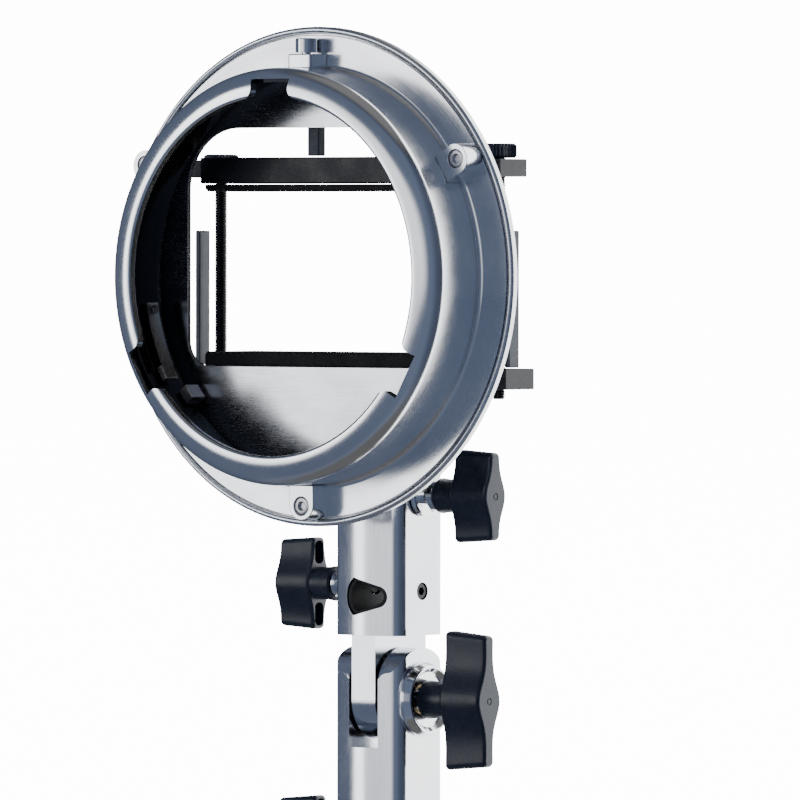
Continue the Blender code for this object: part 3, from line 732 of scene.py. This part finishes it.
def lower_block(look):
    """Clevis with full-round ears above, stand socket below."""
    top = LOWER_HIGH.z
    half = LOWER_HIGH.y
    block = extrude("lower_block_finished", block_outline(), "Z", 0, top + 2)
    ears = [(half + 3, -2), (half + 3, top - half), (half, top - half)]
    ears += arc(0, top - half, half, half, 0, 180, 64)[1:]
    ears += [(-half - 3, top - half), (-half - 3, -2)]
    carve(block, [extrude("ear_tool", ears, "X", -CLEAR, CLEAR)], "INTERSECT")
    stand_lock = joint_mm("stand_lock_turn").z
    tools = [brick("slot_tool", (-SLOT_HALF, -CLEAR, SLOT_BOTTOM), (SLOT_HALF, CLEAR, 95))]
    tools.append(rod("socket_tool", SOCKET_HOLE, "Z", (0, 0, 0), -5, SOCKET_DEPTH, 96))
    tools.append(cross_hole("pivot_tool", PIVOT_HOLE, PIVOT, -CLEAR, CLEAR))
    tools.append(cross_hole("stand_thread_tool", STAND_THREAD, stand_lock, -CLEAR, -4))
    carve(block, tools)
    return place(soften(block, 0.3, 3, 30), "lower_block", look)


def upper_block(look):
    """Carries the umbrella hole and the head post; its tongue fits the clevis."""
    block = extrude("upper_block_finished", block_outline(), "Z", UPPER_BOTTOM, UPPER_HIGH.z)
    tongue = PIVOT - UPPER_LOW.z
    outline = [(tongue, UPPER_BOTTOM + 4)]
    outline += [(-a, b) for a, b in arc(0, PIVOT, tongue, tongue, 180, 360, 64)]
    outline += [(-tongue, UPPER_BOTTOM + 4)]
    join_in(block, [extrude("tongue_tool", outline, "X", -TONGUE_HALF, TONGUE_HALF)])
    umbrella_lock = joint_mm("umbrella_lock_turn").z
    height_lock = joint_mm("height_lock_turn").z
    low, high = box_mm("umbrella_set_screw")
    set_screw = (low.z + high.z) / 2
    tools = [extrude("umbrella_tool", umbrella_outline(0), "Y", -CLEAR, CLEAR)]
    tools.append(brick("pocket_tool", (-7.3, -6.3, 112.0), (7.3, 6.3, 165)))
    tools.append(cross_hole("pivot_tool", PIVOT_HOLE, PIVOT, -CLEAR, CLEAR))
    tools.append(cross_hole("lock_tool", LOCK_THREAD, umbrella_lock, -CLEAR, UMBRELLA_PORT))
    tools.append(cross_hole("lock_tool", LOCK_THREAD, height_lock, 4, CLEAR))
    tools.append(cross_hole("set_screw_tool", 2.7, set_screw, 7, CLEAR))
    carve(block, tools)
    return place(soften(block, 0.3, 3, 30), "upper_block", look)


def umbrella_liner(look):
    """The V seat for the umbrella shaft."""
    low, high = box_mm("umbrella_liner")
    liner = extrude("umbrella_liner_moulded", umbrella_outline(0.3), "Y", low.y, high.y)
    lock = joint_mm("umbrella_lock_turn").z
    tools = [extrude("bore_tool", umbrella_outline(1.3), "Y", -CLEAR, CLEAR)]
    tools.append(cross_hole("port_tool", LOCK_THREAD, lock, -CLEAR, UMBRELLA_PORT))
    carve(liner, tools)
    return place(soften(liner, 0.2, 2, 40), "umbrella_liner", look)


# ---------------------------------------------------------------- knobs and their screws


def wing_outline(height, web, bulge, middle, count=40):
    """Half thickness against height: a bulge at the hub, thin webs and rounded tips."""
    half_height = height / 2
    half_web = web / 2
    tip_round = min(1.7, half_web)
    swell = bulge / 2 - half_web
    right = []
    for i in range(count + 1):
        z = -1 + 2 * i / count
        z = math.copysign(abs(z) ** 0.85, z) * (half_height - tip_round)
        width = half_web + swell * math.exp(-((z / (bulge * 0.6)) ** 2))
        right.append((width + 0.3 * (abs(z) / half_height) ** 4, z))
    width, top = right[-1]
    cap = arc(width - tip_round, top, tip_round, tip_round, 0, 90, 6)[1:]
    cap += arc(tip_round - width, top, tip_round, tip_round, 90, 180, 6)[:-1]
    left = [(-width, z) for width, z in reversed(right)]
    foot = [(-a, -b) for a, b in cap]
    return [(a, b + middle) for a, b in right + cap + left + foot]


def wing_knob(node, look, web, hub_radius, hub_length, bore):
    """A moulded wing knob along X in its CAD box: drafted lobes, hollow from the hub's side."""
    low, high = box_mm(node)
    side = 1 if high.x > 0 else -1
    near, far = sorted((abs(low.x), abs(high.x)))
    height = high.z - low.z
    middle = (low.z + high.z) / 2
    bulge = high.y - low.y
    start = near + hub_length
    thick = web + 1.3
    end_outline = wing_outline(height / 1.065, web, bulge, middle)
    hub_outline = wing_outline(height, thick, bulge + 0.7, middle)
    wing = extrude(node + "_moulded", end_outline, "X", side * start, side * far, hub_outline)
    round_off(wing, 1.1)
    centre = (0, 0, middle)
    hub = [(0, near), (hub_radius - 0.5, near)]
    hub += [(hub_radius - 0.15, near + 0.15), (hub_radius, near + 0.5)]
    hub += [(hub_radius - 0.35, near + hub_length * 0.45), (hub_radius - 0.3, start + 1.5)]
    hub += [(hub_radius - 1.2, far - 3.5), (0, far - 3.5)]
    hub = [(radius, side * along) for radius, along in hub]
    join_in(wing, [lathe("hub_tool", hub, "X", centre, 64)])
    tools = [lobe_core(thick, height, hub_radius, middle, side, start, end) for end in (-1, 1)]
    reach = sorted((side * (near - 1), side * (start + bore[1])))
    tools.append(rod("bore_tool", bore[0], "X", centre, reach[0], reach[1], 40))
    tools.append(gate_mark(side, far, centre))
    carve(wing, tools)
    return place(soften(wing, 0.25, 2, 38), node, look)


def lobe_core(thick, height, hub_radius, middle, side, start, end):
    """The pocket in a lobe, open on the hub's side. end is -1 or 1: the lower or upper lobe."""
    low, high = sorted((end * (hub_radius + 0.6), end * (height / 2 - 1.1)))
    low, high = middle + low, middle + high
    half = thick / 2 - 0.75
    floor_half = half * 0.7
    mouth = rounded_rectangle((-half, low), (half, high), half * 0.8, 5)
    floor = rounded_rectangle((-floor_half, low), (floor_half, high), half * 0.56, 5)
    return extrude("core_tool", floor, "X", side * (start - 0.5), side * (start + 10), mouth)


def gate_mark(side, far, centre):
    """A shallow ring on the end face where the mould was filled."""
    low, high = sorted((side * (far - 0.25), side * (far + 1)))
    ring = [(0.75, low), (1.15, low), (1.15, high), (0.75, high)]
    return lathe("gate_tool", ring, "X", centre, 32)


def thread(name, radius, pitch, depth, axis, centre, low, high, segments=32):
    """A screw thread as real ridges, run out to a plain end at each side."""
    steps = max(8, int((high - low) / pitch * 6))
    profile = [(0, low)]
    profile += [(radius, low + (high - low) * i / steps) for i in range(steps + 1)]
    profile += [(0, high)]

    def ridge(r, along, angle):
        turn = along / pitch - angle / (2 * math.pi)
        saw = abs(2 * (turn - math.floor(turn + 0.5)))
        edge = min(1.0, min(along - low, high - along) / pitch + 0.15)
        return r - depth * (1 - saw) * edge - depth * (1 - edge)

    return lathe(name, profile, axis, centre, segments, ridge)


def lock_stud(node, look, radius, pitch, collar, flange=0):
    """A plated stud: thread into the block, plain neck, collar (radius, start, end) and dish."""
    low, high = box_mm(node)
    side = 1 if high.x > 0 else -1
    near, far = sorted((abs(low.x), abs(high.x)))
    centre = (0, 0, (low.z + high.z) / 2)
    block_face = box_mm("upper_block")[1].x
    collar_radius, collar_start, collar_end = collar
    neck = block_face + 1.4
    reach = sorted((side * near, side * neck))
    stud = thread(node + "_cut", radius, pitch, pitch * 0.5, "X", centre, reach[0], reach[1], 36)
    round_part = [(0, neck - 0.3), (radius - 0.1, neck - 0.3), (radius - 0.1, collar_start)]
    round_part += [(collar_radius - 0.5, collar_start), (collar_radius, collar_start + 0.5)]
    round_part += [(collar_radius, collar_end - 0.35), (collar_radius - 0.35, collar_end)]
    round_part += [(radius - 0.1, collar_end), (radius - 0.1, far), (0, far)]
    round_part = [(r, side * along) for r, along in round_part]
    join_in(stud, [lathe("neck_tool", round_part, "X", centre, 48)])
    if flange:
        dish = [(0, 0.4), (flange - 0.15, 0.4), (flange, 0.55), (flange, 1.2)]
        dish += [(flange - 0.3, 1.7), (flange - 0.9, 2.0), (flange - 1.3, 1.8)]
        dish += [(flange - 2.1, 1.3), (0, 1.2)]
        dish = [(r, side * (block_face + x)) for r, x in dish]
        join_in(stud, [lathe("flange_tool", dish, "X", centre, 64)])
    return place(soften(stud, 0, 2, 30), node, look)


def tilt_boss(look):
    """The dished chrome washer that the tilt knob's hub sinks into."""
    low, high = box_mm("tilt_boss")
    centre = (0, (low.y + high.y) / 2, (low.z + high.z) / 2)
    outer = (high.y - low.y) / 2
    base, rim = low.x, high.x
    profile = [(PIVOT_HOLE, base), (outer - 0.15, base), (outer, base + 0.15), (outer, base + 1.1)]
    profile += [(outer - 0.1, base + 1.35), (outer - 0.95, rim - 0.3), (outer - 1.1, rim - 0.08)]
    profile += [(outer - 1.3, rim), (outer - 1.7, rim), (outer - 1.9, rim - 0.12)]
    profile += [(outer - 2.9, rim - 1.5), (outer - 3.6, rim - 1.95), (PIVOT_HOLE, rim - 2.2)]
    washer = lathe("tilt_boss_turned", profile, "X", centre, 96)
    return place(soften(washer, 0.08, 2, 40), "tilt_boss", look)


def tilt_bolt(look):
    """A hex bolt from the far ear: chamfered head, plain shank, thread into the knob."""
    low, high = box_mm("tilt_bolt")
    pivot = joint_mm("tilt")
    centre = (0, pivot.y, pivot.z)
    head_end = low.x + 2.8
    head = rod("bolt_head", 5.4, "X", centre, low.x, head_end, 6)
    cone = [(0, low.x - 0.1), (4.5, low.x - 0.1), (5.7, low.x + 0.75)]
    cone += [(5.7, head_end + 1), (0, head_end + 1)]
    carve(head, [lathe("cone_tool", cone, "X", centre, 48)], "INTERSECT")
    shank = rod("shank_tool", 2.95, "X", centre, head_end - 0.2, 12.0, 40)
    tip = thread("thread_tool", 2.95, 1.0, 0.5, "X", centre, 11.8, high.x, 36)
    join_in(head, [shank, tip])
    head.name = "tilt_bolt_turned"
    return place(soften(head, 0, 2, 30), "tilt_bolt", look)


# ---------------------------------------------------------------- clamp

CLAMP_PITCH = 0.8
NUT_FACE = -31.6
NUT_TOP = -29.2


def clamp_cap(node, look):
    """A knurled cap with a chamfered top and a shallow dish."""
    low, high = box_mm(node)
    centre = ((low.x + high.x) / 2, (low.y + high.y) / 2, 0)
    radius = (high.x - low.x) / 2

    def knurl(r, along, angle):
        if r < radius - 0.5:
            return r
        return r - 0.22 + 0.22 * math.cos(30 * angle)

    profile = [(2.3, low.z), (radius - 0.6, low.z)]
    profile += [(radius - 0.05, low.z + 0.5), (radius, low.z + 0.9)]
    profile += [(radius, high.z - 0.9), (radius - 0.1, high.z - 0.5), (radius - 0.7, high.z - 0.05)]
    profile += [(radius - 1.1, high.z), (radius - 1.5, high.z - 0.15), (2.2, high.z - 0.7)]
    profile += [(0.6, high.z - 0.75), (0.6, high.z - 1.4), (2.3, high.z - 1.4)]
    cap = lathe(node + "_moulded", profile, "Z", centre, 180, knurl)
    return place(soften(cap, 0, 2, 32), node, look)


def clamp_screw(node, look):
    low, high = box_mm(node)
    centre = ((low.x + high.x) / 2, (low.y + high.y) / 2, 0)
    radius = (high.x - low.x) / 2
    screw = thread(node + "_cut", radius, CLAMP_PITCH, 0.42, "Z", centre, low.z, high.z, 28)
    return place(soften(screw, 0, 2, 50), node, look)


def jaw_pad(node, look):
    """A moulded rubber pad, its teeth worn round at their tips."""
    low, high = box_mm(node)
    upward = node == "lower_pad"
    base, tip = (low.z, high.z) if upward else (high.z, low.z)
    depth = 0.9 if upward else -0.9
    teeth = 38
    half = (high.x - low.x) / 2
    outline = [(half, base)]
    for i in range(8 * teeth + 1):
        x = half - i * half / (4 * teeth)
        phase = (i / 4) % 2
        saw = abs(1 - phase)
        outline.append((x, tip - depth * min(1.0, max(0.0, 1.25 * saw - 0.12))))
    outline.append((-half, base))
    pad = extrude(node + "_moulded", outline, "Y", low.y, high.y)
    return place(soften(pad, 0.12, 1, 50), node, look)


def nut(node, look):
    """A hex nut with chamfered corners on a short threaded stud."""
    low, high = box_mm(node)
    centre = ((low.x + high.x) / 2, 0, (low.z + high.z) / 2)
    across = (high.x - low.x) / 2
    body = rod(node + "_cut", across, "Y", centre, NUT_FACE, NUT_TOP, 6)
    cone = [(0, NUT_FACE - 1), (across + 1, NUT_FACE - 1), (across + 1, NUT_TOP - 1.0)]
    cone += [(across - 0.55, NUT_TOP + 0.1), (0, NUT_TOP + 0.1)]
    carve(body, [lathe("cone_tool", cone, "Y", centre, 48)], "INTERSECT")
    stud = thread("stud_tool", 1.6, 0.5, 0.25, "Y", centre, low.y, high.y, 28)
    join_in(body, [stud])
    return place(soften(body, 0, 2, 30), node, look)


def cap_screws(look):
    """Socket screws that hold the clamp's base to the post and to the angle bracket."""
    for label in ("left", "right"):
        node = f"post_screw_{label}"
        centre, low, high = upright(node)
        hex_screw(node, "Z", centre, high, (2.7, 2.2), 1.4, low, look)
        node = f"bracket_screw_{label}"
        centre, low, high = upright(node)
        hex_screw(node, "Z", centre, low, (2.7, 1.6), 1.4, high, look)


# ---------------------------------------------------------------- stage, light and camera


def cove():
    """A round pale floor that curves up into a wall on every side."""
    profile = [(0, 0.0)]
    profile += [(radius * 100, 0.0) for radius in range(5, 40, 5)]
    profile += arc(4000, 1500, 1500, 1500, -90, 0, 24)
    profile += [(5500, 4500)]
    build = bmesh.new()
    rings = []
    floor_z = cad_box[0].z / MM - 0.5
    for radius, along in profile:
        if radius < 1e-6:
            rings.append([build.verts.new((0, 0, floor_z))])
            continue
        ring = []
        for i in range(96):
            turn = 2 * math.pi * i / 96
            point = (radius * math.cos(turn), radius * math.sin(turn), floor_z + along)
            ring.append(build.verts.new(point))
        rings.append(ring)
    for k in range(len(rings) - 1):
        bridge(build, rings[k], rings[k + 1])
    floor = to_object("floor", build)
    floor.data.flip_normals()
    floor.data.shade_smooth()
    look = Look("floor_paper", (0.92, 0.925, 0.93), 0.9)
    cloud = look.noise((2.0, 2.0, 2.0), 2.0)
    look.tint(look.spread(cloud, 0, 1), ((0.90, 0.905, 0.912), (0.93, 0.932, 0.938)))
    look.shader.inputs["Emission Color"].default_value = (1, 1, 1, 1)
    look.shader.inputs["Emission Strength"].default_value = 14.0
    floor.data.materials.append(look.material)
    floor.visible_glossy = False
    floor.visible_diffuse = False
    floor.visible_shadow = False


class Studio:
    """The world's light: soft boxes placed by direction, on a dim blue-grey room."""

    def __init__(self):
        world = bpy.data.worlds.new("studio")
        world.use_nodes = True
        bpy.context.scene.world = world
        self.tree = world.node_tree
        self.background = self.tree.nodes["Background"]
        self.split = self.tree.nodes.new("ShaderNodeSeparateXYZ")
        self.lit = 0.0
        coordinates = self.tree.nodes.new("ShaderNodeTexCoord")
        self.tree.links.new(coordinates.outputs["Generated"], self.split.inputs["Vector"])

    def math(self, operation, *values):
        made = self.tree.nodes.new("ShaderNodeMath")
        made.operation = operation
        for socket, value in zip(made.inputs, values):
            if isinstance(value, (int, float)):
                socket.default_value = value
            else:
                self.tree.links.new(value, socket)
        return made.outputs["Value"]

    def step(self, value, edge, soft):
        """1 where value is below edge, falling to 0 over soft."""
        made = self.tree.nodes.new("ShaderNodeMapRange")
        made.interpolation_type = "SMOOTHSTEP"
        self.tree.links.new(value, made.inputs["Value"])
        made.inputs["From Min"].default_value = edge - soft / 2
        made.inputs["From Max"].default_value = edge + soft / 2
        made.inputs["To Min"].default_value = 1.0
        made.inputs["To Max"].default_value = 0.0
        return made.outputs["Result"]

    def round_the_room(self, stops, top):
        """Boards and flags by azimuth in degrees; colours are divided by top to fit the ramp."""
        self.turn = self.math("ARCTAN2", self.split.outputs["Y"], self.split.outputs["X"])
        part = self.math("MULTIPLY_ADD", self.turn, 0.5 / math.pi, 0.5)
        ramp = self.tree.nodes.new("ShaderNodeValToRGB")
        elements = ramp.color_ramp.elements
        while len(elements) < len(stops):
            elements.new(0.5)
        for element, (azimuth, colour) in zip(elements, stops):
            element.position = azimuth / 360 + 0.5
            element.color = (*(level / top for level in colour), 1)
        self.tree.links.new(part, ramp.inputs["Fac"])
        self.boards = self.tree.nodes.new("ShaderNodeSeparateXYZ")
        self.tree.links.new(ramp.outputs["Color"], self.boards.inputs["Vector"])
        self.top = top

    def board(self, start, end, foot, top, level):
        """A board between two azimuths and two heights; each edge is a place and its softness."""
        before = self.step(self.turn, *(math.radians(value) for value in start))
        first = self.math("SUBTRACT", 1.0, before)
        last = self.step(self.turn, *(math.radians(value) for value in end))
        height = self.split.outputs["Z"]
        lifted = self.math("SUBTRACT", 1.0, self.step(height, *foot))
        mask = self.math("MULTIPLY", self.math("MULTIPLY", first, last), lifted)
        mask = self.math("MULTIPLY", mask, self.step(height, *top))
        self.lit = self.math("MULTIPLY_ADD", mask, level, self.lit)

    def finish(self, above, below):
        """Fades the boards out, up into the overhead light and down into the floor's bounce."""
        height = self.split.outputs["Z"]
        upright = self.step(self.math("ABSOLUTE", height), 0.83, 0.16)
        high = self.math("SUBTRACT", 1.0, self.step(height, 0.88, 0.14))
        overhead = self.math("MULTIPLY", high, above)
        sunk = self.math("MULTIPLY", height, -1.0)
        deep = self.math("SUBTRACT", 1.0, self.step(sunk, 0.80, 0.25))
        floor = self.math("MULTIPLY", deep, below)
        lift = self.math("ADD", overhead, floor)
        tint = self.tree.nodes.new("ShaderNodeCombineXYZ")
        for axis in ("X", "Y", "Z"):
            board = self.math("MULTIPLY_ADD", self.boards.outputs[axis], self.top, self.lit)
            glow = self.math("ADD", self.math("MULTIPLY", board, upright), lift)
            self.tree.links.new(glow, tint.inputs[axis])
        self.tree.links.new(tint.outputs["Vector"], self.background.inputs["Color"])
        self.background.inputs["Strength"].default_value = 1.0


# The boards round the room, by azimuth in degrees: black behind the camera, white at the right
TOP_LEVEL = 4.0
ROUND_THE_ROOM = (
    (-180, (0.11, 0.135, 0.20)),
    (-150, (0.12, 0.145, 0.21)),
    (-128, (0.11, 0.135, 0.20)),
    (-52, (0.14, 0.175, 0.26)),
    (-20, (0.08, 0.10, 0.155)),
    (28, (0.05, 0.062, 0.095)),
    (36, (0.5, 0.53, 0.6)),
    (41, (3.4, 3.45, 3.5)),
    (106, (3.4, 3.45, 3.5)),
    (114, (0.5, 0.54, 0.62)),
    (128, (0.28, 0.31, 0.38)),
    (140, (0.07, 0.085, 0.12)),
    (180, (0.11, 0.135, 0.20)),
)


def light():
    """Boards round the object at eye level, a weak light above and a weak bounce below."""
    studio = Studio()
    studio.round_the_room(ROUND_THE_ROOM, TOP_LEVEL)
    studio.board((-139, 2), (-127, 4), (-0.16, 0.1), (0.32, 0.12), 2.2)
    studio.board((-139, 2), (-82, 36), (-0.07, 0.1), (0.30, 0.14), 1.4)
    studio.finish(0.22, 0.14)


def black_flag():
    """A black disc behind the window, where the flash would be; only reflections see it."""
    flag = rod("black_flag", 60.0, "Y", RING + Vector((0, 6.2, 0)), 0, 0.5, 96)
    look = Look("flag_cloth", (0.004, 0.004, 0.005), 0.9)
    weave = look.noise((900, 900, 900), 2.0)
    look.tint(look.spread(weave, 0, 1), ((0.003, 0.003, 0.004), (0.006, 0.006, 0.007)))
    flag.data.materials.append(look.material)
    flag.visible_camera = False
    flag.visible_diffuse = False
    flag.visible_shadow = False


CAMERA_AZIMUTH = 38.03
CAMERA_ELEVATION = 0.87
CAMERA_DISTANCE = 3.2
CAMERA_LENS = 473.2
CAMERA_ROLL = 0.07
AIM_RIGHT = 24.29
AIM_BELOW_RING = 37.54


def camera():
    """Just above the blocks' level, on the tilt knob's side of the front, through a long lens."""
    azimuth = math.radians(CAMERA_AZIMUTH)
    elevation = math.radians(CAMERA_ELEVATION)
    right = Vector((math.cos(azimuth), math.sin(azimuth), 0))
    level = Vector((math.sin(azimuth), -math.cos(azimuth), 0))
    back = level * math.cos(elevation) + Vector((0, 0, math.sin(elevation)))
    aim = (RING + right * AIM_RIGHT + back.cross(right) * AIM_BELOW_RING * -1) * MM
    data = bpy.data.cameras.new("camera")
    data.lens = CAMERA_LENS
    data.sensor_width = 36.0
    view = bpy.data.objects.new("camera", data)
    bpy.context.scene.collection.objects.link(view)
    turn = (-back).to_track_quat("-Z", "Y").to_matrix().to_4x4()
    roll = Matrix.Rotation(math.radians(CAMERA_ROLL), 4, "Z")
    view.matrix_world = Matrix.Translation(aim + back * CAMERA_DISTANCE) @ turn @ roll
    bpy.context.scene.camera = view


# ---------------------------------------------------------------- assembly


def main():
    camera()
    light()
    cove()
    black_flag()

    turned = turned_aluminium()
    sheet = sheet_aluminium()
    steel = brushed_steel()
    bright_steel = brushed_steel("bright_steel", (0.78, 0.78, 0.79))
    spring_steel = brushed_steel("spring_steel", (0.80, 0.76, 0.69))
    plate = chrome()
    coat = powder_coat()
    navy = ((0.016, 0.022, 0.038), (0.026, 0.034, 0.056))
    knob_black = moulded("knob_plastic", *navy, (0.28, 0.4))
    slate = ((0.055, 0.065, 0.085), (0.085, 0.097, 0.122))
    grey = moulded("grey_plastic", *slate, (0.42, 0.56))
    black = ((0.006, 0.007, 0.010), (0.012, 0.013, 0.017))
    seat = moulded("seat_plastic", *black, (0.55, 0.7))
    rubber = black_rubber()
    brass = turned_brass()

    bayonet_ring(turned)
    back_plate(sheet)
    for angle in LUG_ANGLES:
        flange_lug(angle, turned)
    lug_screws(bright_steel)
    ring_lock(turned, plate, steel)
    catch(spring_steel, steel)

    lower_block(extruded_aluminium("lower_extrusion", 0))
    upper_block(extruded_aluminium("upper_extrusion", 3))
    refine("head_post", extruded_aluminium("post_extrusion", 7), 0.4, 2, 30)
    umbrella_liner(seat)
    refine("umbrella_set_screw", coat, 0.1)

    wing_knob("tilt_knob", knob_black, 4.6, 5.9, 8.6, (4.7, 6.0))
    wing_knob("stand_lock_knob", knob_black, 4.6, 5.9, 8.6, (4.2, 6.0))
    wing_knob("umbrella_lock_knob", knob_black, 4.4, 5.4, 7.3, (3.2, 6.0))
    wing_knob("height_lock_knob", knob_black, 4.4, 5.4, 7.1, (3.2, 6.0))
    lock_stud("umbrella_lock_screw", plate, 2.95, 1.0, (4.4, 18.6, 19.7))
    lock_stud("height_lock_screw", plate, 2.95, 1.0, (4.8, 17.6, 20.2), 6.6)
    lock_stud("stand_lock_screw", plate, 3.95, 1.25, (5.4, 16.6, 17.7))
    tilt_boss(plate)
    tilt_bolt(steel)
    refine("tilt_knob_bush", brass, 0.2)
    for label in ("left", "right"):
        refine(f"friction_washer_{label}", knob_black, 0.1)
    refine("umbrella_lock_pad", seat, 0.3)
    refine("height_lock_pad", steel, 0.3)
    refine("stand_lock_pad", steel, 0.3)

    refine("lower_jaw", coat, 0.6, 3)
    refine("upper_jaw", coat, 0.6, 3)
    jaw_pad("lower_pad", rubber)
    jaw_pad("upper_pad", rubber)
    for label in ("left", "right"):
        refine(f"side_rail_{label}", grey, 0.3)
        clamp_cap(f"clamp_cap_{label}", knob_black)
        clamp_screw(f"clamp_screw_{label}", coat)
        nut(f"plate_nut_{label}", steel)
    refine("centre_post", grey, 0.35)
    refine("post_guide", coat, 0.4)
    refine("plate_bracket", steel, 0.35)
    cap_screws(steel)


main()
